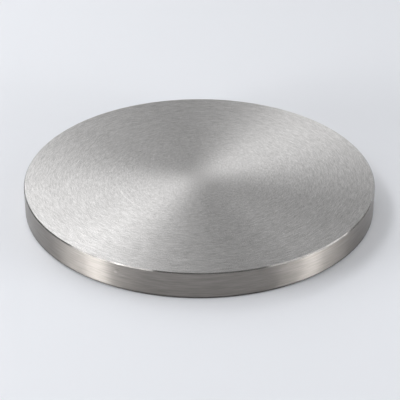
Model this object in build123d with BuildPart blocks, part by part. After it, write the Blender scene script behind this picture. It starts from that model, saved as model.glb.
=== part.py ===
from build123d import *
import os

# Sputtering target: a single disc of metal, faced and turned all over, with a fine break on both edges.
# Lengths are in millimetres. The disc's axis is Z, its back face lies on Z = 0 and its sputtering face looks up.

target_diameter = 76.2        # three inch planar magnetron
target_thickness = 6.0        # back face to sputtering face
front_edge_break = 0.3        # 45 degree leg round the sputtering face
back_edge_break = 0.3         # 45 degree leg round the back face

target_radius = target_diameter / 2

# Half of the disc's section, from its axis out to the rim. In the sketch, Y runs up the disc's axis.
with BuildPart() as target_disc:
    with BuildSketch(Plane.XZ) as half_section:
        Rectangle(target_radius, target_thickness, align=(Align.MIN, Align.MIN))
        rim_corners = half_section.vertices().group_by(Axis.X)[-1].sort_by(Axis.Y)
        chamfer(rim_corners[0], back_edge_break)
        chamfer(rim_corners[-1], front_edge_break)
    revolve(axis=Axis.Z)

target_disc.part.label = "target_disc"

os.makedirs("parts", exist_ok=True)
export_step(target_disc.part, "parts/target_disc.step")

print(f"target_disc: {target_disc.part.volume / 1000:.2f} cubic centimetres")
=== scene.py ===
import math

import bpy
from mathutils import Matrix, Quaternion, Vector


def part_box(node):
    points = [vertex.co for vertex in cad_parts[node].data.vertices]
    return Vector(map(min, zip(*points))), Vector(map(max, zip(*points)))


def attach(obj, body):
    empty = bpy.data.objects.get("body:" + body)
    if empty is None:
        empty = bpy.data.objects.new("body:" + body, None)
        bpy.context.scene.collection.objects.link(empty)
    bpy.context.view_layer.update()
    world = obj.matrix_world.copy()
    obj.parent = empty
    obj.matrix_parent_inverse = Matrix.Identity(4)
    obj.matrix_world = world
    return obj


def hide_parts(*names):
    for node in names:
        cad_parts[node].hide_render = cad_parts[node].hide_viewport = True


mm = 0.001

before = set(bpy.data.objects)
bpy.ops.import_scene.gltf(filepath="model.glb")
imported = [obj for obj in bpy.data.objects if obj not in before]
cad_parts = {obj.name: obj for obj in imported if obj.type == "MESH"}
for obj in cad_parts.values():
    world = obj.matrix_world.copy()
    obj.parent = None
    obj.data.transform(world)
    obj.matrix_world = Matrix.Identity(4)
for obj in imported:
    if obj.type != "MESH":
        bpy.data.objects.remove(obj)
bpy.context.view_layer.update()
discLow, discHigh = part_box("target_disc")
discRadius = discHigh.x
discThickness = discHigh.z - discLow.z
print("frame loaded, disc", round(discRadius / mm * 2, 2), "by", round(discThickness / mm, 2), "mm")


def addNode(tree, kind, values=None, **settings):
    # a value that is a socket is linked, anything else is typed into the input
    node = tree.nodes.new(kind)
    for name, setting in settings.items():
        setattr(node, name, setting)
    for key, value in (values or {}).items():
        if isinstance(value, bpy.types.NodeSocket):
            tree.links.new(value, node.inputs[key])
        else:
            node.inputs[key].default_value = value
    return node


def mathNode(tree, operation, first, second=0.0):
    return addNode(tree, "ShaderNodeMath", {0: first, 1: second}, operation=operation).outputs[0]


def vectorNode(tree, operation, first, second=(0.0, 0.0, 0.0)):
    return addNode(tree, "ShaderNodeVectorMath", {0: first, 1: second}, operation=operation).outputs[0]


def scaleNode(tree, vector, factor):
    return addNode(tree, "ShaderNodeVectorMath", {0: vector, "Scale": factor}, operation="SCALE").outputs[0]


def lengthNode(tree, vector):
    return addNode(tree, "ShaderNodeVectorMath", {0: vector}, operation="LENGTH").outputs["Value"]


def rampNode(tree, value, start, end, atStart, atEnd, **settings):
    # as the value goes from start to end, the result goes from one level to the other
    limits = {"Value": value, "From Min": start, "From Max": end, "To Min": atStart, "To Max": atEnd}
    return addNode(tree, "ShaderNodeMapRange", limits, **settings).outputs[0]


# Camera: a short telephoto from the front, looking down at the middle of the back face
view = {
    "lens": 120.0,  # on Blender's 36 mm sensor
    "distance": 294.18 * mm,
    "elevation": math.radians(30.65),
    "aim": Vector((0.15 * mm, 0.0, 0.0)),
    "nearest": 0.01,
    "farthest": 10.0,
}


def placeCamera():
    data = bpy.data.cameras.new("photo camera")
    data.lens = view["lens"]
    data.clip_start = view["nearest"]
    data.clip_end = view["farthest"]
    camera = bpy.data.objects.new("photo camera", data)
    bpy.context.scene.collection.objects.link(camera)
    back = Vector((0.0, -math.cos(view["elevation"]), math.sin(view["elevation"])))
    camera.location = back * view["distance"]
    camera.rotation_euler = (view["aim"] - camera.location).to_track_quat("-Z", "Y").to_euler()
    bpy.context.scene.camera = camera


placeCamera()
print("camera placed")


# Target disc: half a section is drawn, broken at its two edges, and swept round the axis
disc = {
    "frontBreak": 0.22 * mm,  # both breaks are read off the photo's edge lines
    "backBreak": 0.3 * mm,
    "segments": 1080,
    "rimRings": 24,
    "faceRings": 12,
    "weld": 0.001 * mm,
    "crispAngle": math.radians(20.0),  # edges bent more than this stay crisp
}


def drawSection(tree, sizes):
    index = addNode(tree, "GeometryNodeInputIndex").outputs[0]

    # the corners of the half section: X is the radius, and Y the height, which the sweep turns over
    height = mathNode(tree, "MULTIPLY", sizes["Thickness"], -1.0)
    corners = [(0, 1), (1, 1), (1, 0), (0, 0)]  # front middle, front edge, back edge, back middle
    places = addNode(tree, "GeometryNodeIndexSwitch", data_type="VECTOR")
    while len(places.index_switch_items) < len(corners):
        places.index_switch_items.new()
    tree.links.new(index, places.inputs[0])
    for slot, (outward, upward) in enumerate(corners, start=1):
        place = addNode(tree, "ShaderNodeCombineXYZ")
        if outward:
            tree.links.new(sizes["Radius"], place.inputs["X"])
        if upward:
            tree.links.new(height, place.inputs["Y"])
        tree.links.new(place.outputs[0], places.inputs[slot])
    section = addNode(tree, "GeometryNodeMeshLine", {"Count": len(corners)}).outputs[0]
    placed = {"Geometry": section, "Position": places.outputs[0]}
    section = addNode(tree, "GeometryNodeSetPosition", placed).outputs[0]
    section = addNode(tree, "GeometryNodeMeshToCurve", {0: section}).outputs[0]

    # a fillet of one straight step is an edge break
    lastFrontCorner = 1
    isBack = mathNode(tree, "GREATER_THAN", index, lastFrontCorner)
    breaks = {"Switch": isBack, "False": sizes["Front Break"], "True": sizes["Back Break"]}
    legs = addNode(tree, "GeometryNodeSwitch", breaks, input_type="FLOAT").outputs[0]
    broken = {"Curve": section, "Count": 1, "Radius": legs}
    section = addNode(tree, "GeometryNodeFilletCurve", broken, mode="POLY").outputs[0]

    # rings on the rim and on both faces. The runs of the section are face, break, rim, break, face
    rimRun = 2
    lastRun = 4
    isRimRun = {"A": index, "B": rimRun}
    onRim = addNode(tree, "FunctionNodeCompare", isRimRun, data_type="INT", operation="EQUAL").outputs[0]
    onFace = mathNode(tree, "COMPARE", mathNode(tree, "MODULO", index, lastRun), 0.0)
    rimCuts = mathNode(tree, "MULTIPLY", onRim, sizes["Rim Rings"])
    faceCuts = mathNode(tree, "MULTIPLY", onFace, sizes["Face Rings"])
    cut = {"Curve": section, "Cuts": mathNode(tree, "ADD", rimCuts, faceCuts)}
    return addNode(tree, "GeometryNodeSubdivideCurve", cut).outputs[0]


def sweepSection(tree, sizes, section):
    # the sweep follows the rim's circle, so the section is first moved in by the radius
    inward = mathNode(tree, "MULTIPLY", sizes["Radius"], -1.0)
    shift = addNode(tree, "ShaderNodeCombineXYZ", {"X": inward}).outputs[0]
    section = addNode(tree, "GeometryNodeSetPosition", {"Geometry": section, "Offset": shift}).outputs[0]
    ring = {"Resolution": sizes["Segments"], "Radius": sizes["Radius"]}
    circle = addNode(tree, "GeometryNodeCurvePrimitiveCircle", ring).outputs[0]
    swept = {"Curve": circle, "Profile Curve": section}
    solid = addNode(tree, "GeometryNodeCurveToMesh", swept).outputs[0]
    welded = {"Geometry": solid, "Distance": sizes["Weld"]}
    return addNode(tree, "GeometryNodeMergeByDistance", welded).outputs[0]


def finishDisc(tree, sizes, solid):
    # both faces are flat, and everything between them is smooth up to its crisp edges
    faceUp = 0.999  # a normal that points up or down more than this is a face's
    rimUp = 0.1  # and one that does so less than this is the rim's
    normal = addNode(tree, "GeometryNodeInputNormal").outputs[0]
    up = addNode(tree, "ShaderNodeSeparateXYZ", {0: normal}).outputs["Z"]
    steep = mathNode(tree, "ABSOLUTE", up)
    isFace = mathNode(tree, "GREATER_THAN", steep, faceUp)
    notFace = mathNode(tree, "LESS_THAN", steep, faceUp)
    isRim = mathNode(tree, "LESS_THAN", steep, rimUp)
    isBelow = mathNode(tree, "LESS_THAN", up, -rimUp)
    smooth = {"Geometry": solid, "Shade Smooth": notFace}
    solid = addNode(tree, "GeometryNodeSetShadeSmooth", smooth).outputs[0]
    bend = addNode(tree, "GeometryNodeInputMeshEdgeAngle").outputs["Unsigned Angle"]
    isCrisp = mathNode(tree, "GREATER_THAN", bend, sizes["Crisp Angle"])
    crisp = {"Geometry": solid, "Selection": isCrisp, "Shade Smooth": False}
    solid = addNode(tree, "GeometryNodeSetShadeSmooth", crisp, domain="EDGE").outputs[0]

    # the front break's finish goes on all over, and then each other one on its own faces
    solid = addNode(tree, "GeometryNodeRealizeInstances", {"Geometry": solid}).outputs[0]
    for name, where in (
        ("Front Break Finish", True),
        # the back break's nearly black finish is painted shade
        ("Back Break Shade Finish", isBelow),
        ("Face Finish", isFace),
        ("Rim Finish", isRim),
    ):
        coat = {"Geometry": solid, "Selection": where, "Material": sizes[name]}
        solid = addNode(tree, "GeometryNodeSetMaterial", coat).outputs[0]
    return solid


def discTree(finishNames):
    tree = bpy.data.node_groups.new("turned disc", "GeometryNodeTree")
    for kind, names in (
        ("NodeSocketFloat", ("Radius", "Thickness", "Front Break", "Back Break", "Weld", "Crisp Angle")),
        ("NodeSocketInt", ("Segments", "Rim Rings", "Face Rings")),
        ("NodeSocketMaterial", finishNames),
    ):
        for name in names:
            tree.interface.new_socket(name, in_out="INPUT", socket_type=kind)
    tree.interface.new_socket("Disc", in_out="OUTPUT", socket_type="NodeSocketGeometry")
    sizes = tree.nodes.new("NodeGroupInput").outputs
    section = drawSection(tree, sizes)
    solid = sweepSection(tree, sizes, section)
    addNode(tree, "NodeGroupOutput", {0: finishDisc(tree, sizes, solid)})
    return tree


def turnDisc(finishes):
    piece = bpy.data.objects.new("turned_disc", bpy.data.meshes.new("turned_disc"))
    bpy.context.scene.collection.objects.link(piece)
    tree = discTree(finishes.keys())
    values = {
        "Radius": discRadius,
        "Thickness": discThickness,
        "Front Break": disc["frontBreak"],
        "Back Break": disc["backBreak"],
        "Weld": disc["weld"],
        "Crisp Angle": disc["crispAngle"],
        "Segments": disc["segments"],
        "Rim Rings": disc["rimRings"],
        "Face Rings": disc["faceRings"],
    }
    values.update(finishes)
    modifier = piece.modifiers.new("turned disc", "NODES")
    modifier.node_group = tree
    for socket in tree.interface.items_tree:
        if socket.in_out == "INPUT":
            modifier[socket.identifier] = values[socket.name]
    graph = bpy.context.evaluated_depsgraph_get()
    piece.data = bpy.data.meshes.new_from_object(piece.evaluated_get(graph), depsgraph=graph)
    piece.modifiers.clear()
    return piece


# Finishes. Lengths in these dictionaries are in millimetres on the disc
faceFinish = {
    "colour": (0.520, 0.513, 0.509),
    "roughness": 0.42,
    "anisotropy": 0.8,
    "layWidth": 0.28,  # from one tool mark to the next
    "layLength": 1.5,
    "laySeed": 3.0,
    "secondLay": 0.7,  # how much finer and shorter the crossing marks are
    "secondSeed": 71.0,
    "markedRadius": 22.0,  # where the marks have just this length
    "wander": 2.4,  # how far the marks stray from true circles
    "wanderWidth": 9.0,
    "grainWidth": 0.2,
    "grainShare": 0.45,
    "stray": 30.0,  # how far the middle of the lay is smeared out
    "strayWidth": 0.12,
    "strayDetail": 3.0,
    "relief": 0.011,
    "tone": 0.50,  # how much the marks lighten and darken the metal
}
rimFinish = {
    "colour": (0.265, 0.248, 0.230),
    "roughness": 0.295,
    "anisotropy": 0.93,
    "layWidth": 0.22,
    "layLength": 4.5,
    "laySeed": 11.0,
    "relief": 0.0012,
    "tone": 0.15,
    "shadeLineTop": 0.62,  # painted shade: a dark line, standing in for the shadow gap under the edge, runs round the foot of the rim, fading out at this height
    "shadeLineTone": -0.85,
}
frontBreakFinish = {
    "colour": (0.340, 0.332, 0.321),
    "roughness": 0.15,
    "anisotropy": 0.5,
    "layWidth": 0.5,
    "layLength": 2.5,
    "laySeed": 11.0,
    "relief": 0.005,
    "tone": 0.22,
}
backBreakShadeFinish = {
    "colour": (0.040, 0.038, 0.036),  # painted shade: nearly black, standing in for the shadow in the narrow gap under the edge
    "roughness": 0.45,
    "anisotropy": 0.3,
    "layWidth": 0.5,
    "layLength": 2.5,
    "laySeed": 11.0,
    "relief": 0.005,
    "tone": 0.22,
}
# What all the tool marks share. Nearly all of the noise lies between the low and the high level
marks = {
    "detail": 2.0,
    "roughness": 0.6,
    "low": 0.3,
    "middle": 0.5,
    "high": 0.7,
}
# Marks of handling on the face, and on the rim a small dent's painted highlight and shade beside a scratch.
# Places are bearing, distance from the axis, and for the rim the height
faceMarks = [
    {"bearing": 207.0, "reach": 18.0, "long": 8.8, "wide": 0.30, "tone": 0.16},
    {"bearing": 238.5, "reach": 16.95, "long": 3.8, "wide": 0.30, "tone": 0.12},
    {"bearing": 317.6, "reach": 21.7, "long": 1.6, "wide": 0.40, "tone": 0.20},
    {"bearing": 306.1, "reach": 29.1, "long": 0.5, "wide": 0.45, "tone": 0.22},
    {"bearing": 186.1, "reach": 31.2, "long": 0.5, "wide": 0.45, "tone": -0.30},
    {"bearing": 336.4, "reach": 36.7, "long": 1.6, "wide": 0.90, "tone": 0.10},
]
rimDentLightAndScratch = [
    # a small dent's painted highlight, then its painted shade, then a real scratch
    {"bearing": 244.3, "height": 3.9, "long": 0.7, "wide": 0.55, "tone": 0.28},
    {"bearing": 244.9, "height": 4.5, "long": 0.9, "wide": 0.35, "tone": -0.18},
    {"bearing": 246.6, "height": 3.5, "long": 1.8, "wide": 0.20, "tone": 0.18},
]
markSoftness = 0.5  # how much of a mark's half width is fading out


def newFinish(name, finish):
    material = bpy.data.materials.new(name)
    material.use_nodes = True
    tree = material.node_tree
    tree.nodes.clear()
    constants = {
        "Metallic": 1.0,
        "Roughness": finish["roughness"],
        "Anisotropic": finish["anisotropy"],
    }
    shader = addNode(tree, "ShaderNodeBsdfPrincipled", constants)
    addNode(tree, "ShaderNodeOutputMaterial", {"Surface": shader.outputs["BSDF"]})
    return material, tree, shader


def awayFromAxis(tree, place):
    # the level line from the disc's axis out to a place
    return vectorNode(tree, "MULTIPLY", place, (1.0, 1.0, 0.0))


def layNoise(tree, outward, across, width, length, radius, seed):
    # noise drawn out along circles: fine steps across the lay, long ones along it
    turns = radius / length
    ring = vectorNode(tree, "MULTIPLY", outward, (turns, turns, 0.0))
    steps = {0: across, 1: 1.0 / (width * mm), 2: seed}
    lines = addNode(tree, "ShaderNodeMath", steps, operation="MULTIPLY_ADD").outputs[0]
    step = addNode(tree, "ShaderNodeCombineXYZ", {"Z": lines}).outputs[0]
    pattern = {
        "Vector": vectorNode(tree, "ADD", ring, step),
        "Scale": 1.0,
        "Detail": marks["detail"],
        "Roughness": marks["roughness"],
    }
    return addNode(tree, "ShaderNodeTexNoise", pattern).outputs["Fac"]


def plainNoise(tree, place, width, detail=1.0):
    pattern = {"Vector": place, "Scale": 1.0 / (width * mm), "Detail": detail}
    return addNode(tree, "ShaderNodeTexNoise", pattern)


def markMask(tree, mark, outward, radius, across, middleAcross):
    # 1 inside the mark, 0 outside: a short arc round the axis with soft ends and sides
    bearing = math.radians(mark["bearing"])
    middle = (math.cos(bearing), math.sin(bearing), 0.0)
    distance = addNode(tree, "ShaderNodeVectorMath", {0: outward, 1: middle}, operation="DISTANCE")
    along = mathNode(tree, "DIVIDE", distance.outputs["Value"], mark["long"] / 2 / radius)
    offset = mathNode(tree, "SUBTRACT", across, middleAcross * mm)
    aside = mathNode(tree, "DIVIDE", mathNode(tree, "ABSOLUTE", offset), mark["wide"] / 2 * mm)
    away = addNode(tree, "ShaderNodeCombineXYZ", {"X": along, "Y": aside}).outputs[0]
    size = lengthNode(tree, away)
    inner, outer = 1.0 - markSoftness, 1.0 + markSoftness
    return rampNode(tree, size, inner, outer, 1.0, 0.0, interpolation_type="SMOOTHSTEP")


def toneMetal(tree, shader, finish, relief, masks):
    # the marks that tilt the surface also lighten and darken it
    darkest, lightest = 1.0 - finish["tone"], 1.0 + finish["tone"]
    shade = rampNode(tree, relief, marks["low"], marks["high"], darkest, lightest, clamp=False)
    for mask, tone in masks:
        shade = mathNode(tree, "ADD", shade, mathNode(tree, "MULTIPLY", mask, tone))
    tinted = vectorNode(tree, "MULTIPLY", finish["colour"], shade)
    tree.links.new(tinted, shader.inputs["Base Color"])
    slope = {"Height": relief, "Distance": finish["relief"] * mm, "Strength": 1.0}
    bump = addNode(tree, "ShaderNodeBump", slope).outputs[0]
    tree.links.new(bump, shader.inputs["Normal"])


def makeFaceFinish():
    finish = faceFinish
    material, tree, shader = newFinish("turned face", finish)
    place = addNode(tree, "ShaderNodeTexCoord").outputs["Object"]
    away = awayFromAxis(tree, place)
    outward = vectorNode(tree, "NORMALIZE", away)
    reach = lengthNode(tree, away)

    # two sets of marks that wander to opposite sides cross each other at a shallow angle
    wander = plainNoise(tree, place, finish["wanderWidth"]).outputs["Fac"]
    drift = mathNode(tree, "SUBTRACT", wander, marks["middle"])
    lays = []
    for side, share, seed in (
        (1.0, 1.0, finish["laySeed"]),
        (-1.0, finish["secondLay"], finish["secondSeed"]),
    ):
        sideways = mathNode(tree, "MULTIPLY", drift, side * finish["wander"] * mm)
        strayed = mathNode(tree, "ADD", reach, sideways)
        width, length = finish["layWidth"] * share, finish["layLength"] * share
        lays.append(layNoise(tree, outward, strayed, width, length, finish["markedRadius"], seed))
    layShare = (1.0 - finish["grainShare"]) / len(lays)
    both = mathNode(tree, "MULTIPLY", mathNode(tree, "ADD", *lays), layShare)
    grain = plainNoise(tree, place, finish["grainWidth"]).outputs["Fac"]
    relief = mathNode(tree, "ADD", both, mathNode(tree, "MULTIPLY", grain, finish["grainShare"]))
    masks = []
    for mark in faceMarks:
        mask = markMask(tree, mark, outward, mark["reach"], reach, mark["reach"])
        masks.append((mask, mark["tone"]))
    toneMetal(tree, shader, finish, relief, masks)

    # the lay's direction is smeared out, which matters only near the middle
    stray = plainNoise(tree, place, finish["strayWidth"], finish["strayDetail"]).outputs["Color"]
    stray = vectorNode(tree, "SUBTRACT", stray, (marks["middle"],) * 3)
    smeared = vectorNode(tree, "ADD", place, scaleNode(tree, stray, finish["stray"] * mm))
    acrossLay = vectorNode(tree, "NORMALIZE", awayFromAxis(tree, smeared))
    tree.links.new(acrossLay, shader.inputs["Tangent"])
    return material


def makeSideFinish(name, finish, sideMarksAndDentLight):
    # the rim and both edge breaks, whose marks run level round the disc
    material, tree, shader = newFinish(name, finish)
    place = addNode(tree, "ShaderNodeTexCoord").outputs["Object"]
    outward = vectorNode(tree, "NORMALIZE", awayFromAxis(tree, place))
    height = addNode(tree, "ShaderNodeSeparateXYZ", {0: place}).outputs["Z"]
    radius = discRadius / mm
    width, length = finish["layWidth"], finish["layLength"]
    lay = layNoise(tree, outward, height, width, length, radius, finish["laySeed"])
    masks = []
    # on the rim these include a small dent's painted highlight and shade
    for mark in sideMarksAndDentLight:
        mask = markMask(tree, mark, outward, radius, height, mark["height"])
        masks.append((mask, mark["tone"]))
    # painted shade: a dark band round the foot of the rim, where the shadow gap under the edge is
    if "shadeLineTop" in finish:
        foot = rampNode(tree, height, disc["backBreak"], finish["shadeLineTop"] * mm, 1.0, 0.0)
        masks.append((foot, finish["shadeLineTone"]))
    toneMetal(tree, shader, finish, lay, masks)
    upright = addNode(tree, "ShaderNodeCombineXYZ", {"Z": 1.0}).outputs[0]
    tree.links.new(upright, shader.inputs["Tangent"])
    return material


finishes = {
    "Face Finish": makeFaceFinish(),
    "Rim Finish": makeSideFinish("turned rim", rimFinish, rimDentLightAndScratch),
    "Front Break Finish": makeSideFinish("burnished edge", frontBreakFinish, []),
    "Back Break Shade Finish": makeSideFinish("shade-painted edge", backBreakShadeFinish, []),
}
print("finishes made")

targetDisc = turnDisc(finishes)
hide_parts("target_disc")
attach(targetDisc, "root")
print("disc turned,", len(targetDisc.data.polygons), "faces")


# Floor: one pale sheet. Farther out it fades into the plain backdrop, which the metal shows too
floor = {
    "radius": 4.0,
    "sides": 128,
    "colour": (0.786, 0.805, 0.847, 1.0),
    "roughness": 0.9,
    "fadeFrom": 0.135,
    "fadeTo": 0.24,
}
backdrop = (0.77, 0.79, 0.83, 1.0)


def layFloor():
    bpy.ops.mesh.primitive_circle_add(vertices=floor["sides"], radius=floor["radius"], fill_type="NGON")
    sheet = bpy.context.object
    sheet.name = "floor"
    material = bpy.data.materials.new("pale floor")
    material.use_nodes = True
    tree = material.node_tree
    shader = tree.nodes["Principled BSDF"]
    shader.inputs["Base Color"].default_value = floor["colour"]
    shader.inputs["Roughness"].default_value = floor["roughness"]
    place = addNode(tree, "ShaderNodeTexCoord").outputs["Object"]
    reach = lengthNode(tree, place)
    start, end = floor["fadeFrom"], floor["fadeTo"]
    far = rampNode(tree, reach, start, end, 0.0, 1.0, interpolation_type="SMOOTHSTEP")
    path = addNode(tree, "ShaderNodeLightPath").outputs
    seen = mathNode(tree, "MAXIMUM", path["Is Camera Ray"], path["Is Glossy Ray"])
    seen = mathNode(tree, "MAXIMUM", seen, path["Is Transmission Ray"])
    faded = mathNode(tree, "MULTIPLY", far, seen)
    plain = addNode(tree, "ShaderNodeEmission", {"Color": backdrop, "Strength": 1.0}).outputs[0]
    sheetOrPlain = {0: faded, 1: shader.outputs[0], 2: plain}
    surface = addNode(tree, "ShaderNodeMixShader", sheetOrPlain).outputs[0]
    tree.links.new(surface, tree.nodes["Material Output"].inputs["Surface"])
    sheet.data.materials.append(material)


layFloor()
print("floor laid")


# Lights: soft boxes that all face the disc, in metres, watts and degrees. Bearings run from +X towards +Y
softBoxes = {
    "key box": {"bearing": 172, "height": 56.0, "roll": 0, "width": 0.46, "tall": 0.08, "power": 0.44},
    "break box": {"bearing": 206, "height": 43.0, "roll": 25, "width": 0.36, "tall": 0.045, "power": 0.125},
    "back box": {"bearing": 120, "height": 38.0, "roll": 0, "width": 0.28, "tall": 0.36, "power": 0.54},
    "back strip": {"bearing": 75, "height": 5.5, "roll": 0, "width": 0.09, "tall": 0.08, "power": 0.15},
    "right box": {"bearing": 350, "height": 20.0, "roll": 0, "width": 0.34, "tall": 0.3, "power": 0.105},
    "high box": {"bearing": 350, "height": 38.0, "roll": -29, "width": 0.4, "tall": 0.08, "power": 0.112},
    "left strip": {"bearing": 209, "height": 4.5, "roll": 0, "width": 0.1, "tall": 0.07, "power": 1.05},
    "left glow": {"bearing": 201, "height": 5.5, "roll": 0, "width": 0.25, "tall": 0.085, "power": 1.55},
    "left fade": {"bearing": 205, "height": 5.5, "roll": 0, "width": 0.48, "tall": 0.085, "power": 0.8},
    "right strip": {"bearing": 337, "height": 4.5, "roll": 0, "width": 0.1, "tall": 0.07, "power": 0.9},
    "right glow": {"bearing": 340, "height": 5.5, "roll": 0, "width": 0.38, "tall": 0.085, "power": 1.6},
}
boxDistance = 0.45
# The room is darkest behind the camera, brighter at the back, and pale in a low band all round
room = {
    "colour": (1.0, 1.0, 1.0),
    "front": 0.2,
    "back": 0.49,
    "bandTop": math.radians(5.6),
    "fadeTop": math.radians(10.0),
}


def hangLights():
    for name, box in softBoxes.items():
        data = bpy.data.lights.new(name, "AREA")
        data.shape = "RECTANGLE"
        data.size = box["width"]
        data.size_y = box["tall"]
        data.energy = box["power"]
        light = bpy.data.objects.new(name, data)
        bpy.context.scene.collection.objects.link(light)
        bearing, height = math.radians(box["bearing"]), math.radians(box["height"])
        level = math.cos(height)
        way = Vector((math.cos(bearing) * level, math.sin(bearing) * level, math.sin(height)))
        light.location = way * boxDistance
        facing = (-way).to_track_quat("-Z", "Y")
        roll = Quaternion((0.0, 0.0, 1.0), math.radians(box["roll"]))
        light.rotation_euler = (facing @ roll).to_euler()
        light.visible_camera = False


def paintRoom():
    world = bpy.data.worlds.new("room")
    world.use_nodes = True
    tree = world.node_tree
    way = addNode(tree, "ShaderNodeTexCoord").outputs["Generated"]
    parts = addNode(tree, "ShaderNodeSeparateXYZ", {0: way}).outputs
    side = rampNode(tree, parts["Y"], -1.0, 1.0, room["front"], room["back"])
    above = scaleNode(tree, room["colour"], side)
    start, end = math.sin(room["bandTop"]), math.sin(room["fadeTop"])
    band = rampNode(tree, parts["Z"], start, end, 1.0, 0.0, interpolation_type="SMOOTHSTEP")
    vectorA, vectorB, vectorResult = 4, 5, 1  # the Mix node's sockets for vectors
    blend = {"Factor": band, vectorA: above, vectorB: backdrop[:3]}
    shade = addNode(tree, "ShaderNodeMix", blend, data_type="VECTOR").outputs[vectorResult]
    background = tree.nodes["Background"]
    background.inputs["Strength"].default_value = 1.0
    tree.links.new(shade, background.inputs["Color"])
    bpy.context.scene.world = world


paintRoom()
hangLights()
bpy.context.scene.view_settings.view_transform = "Standard"
print("lights hung")
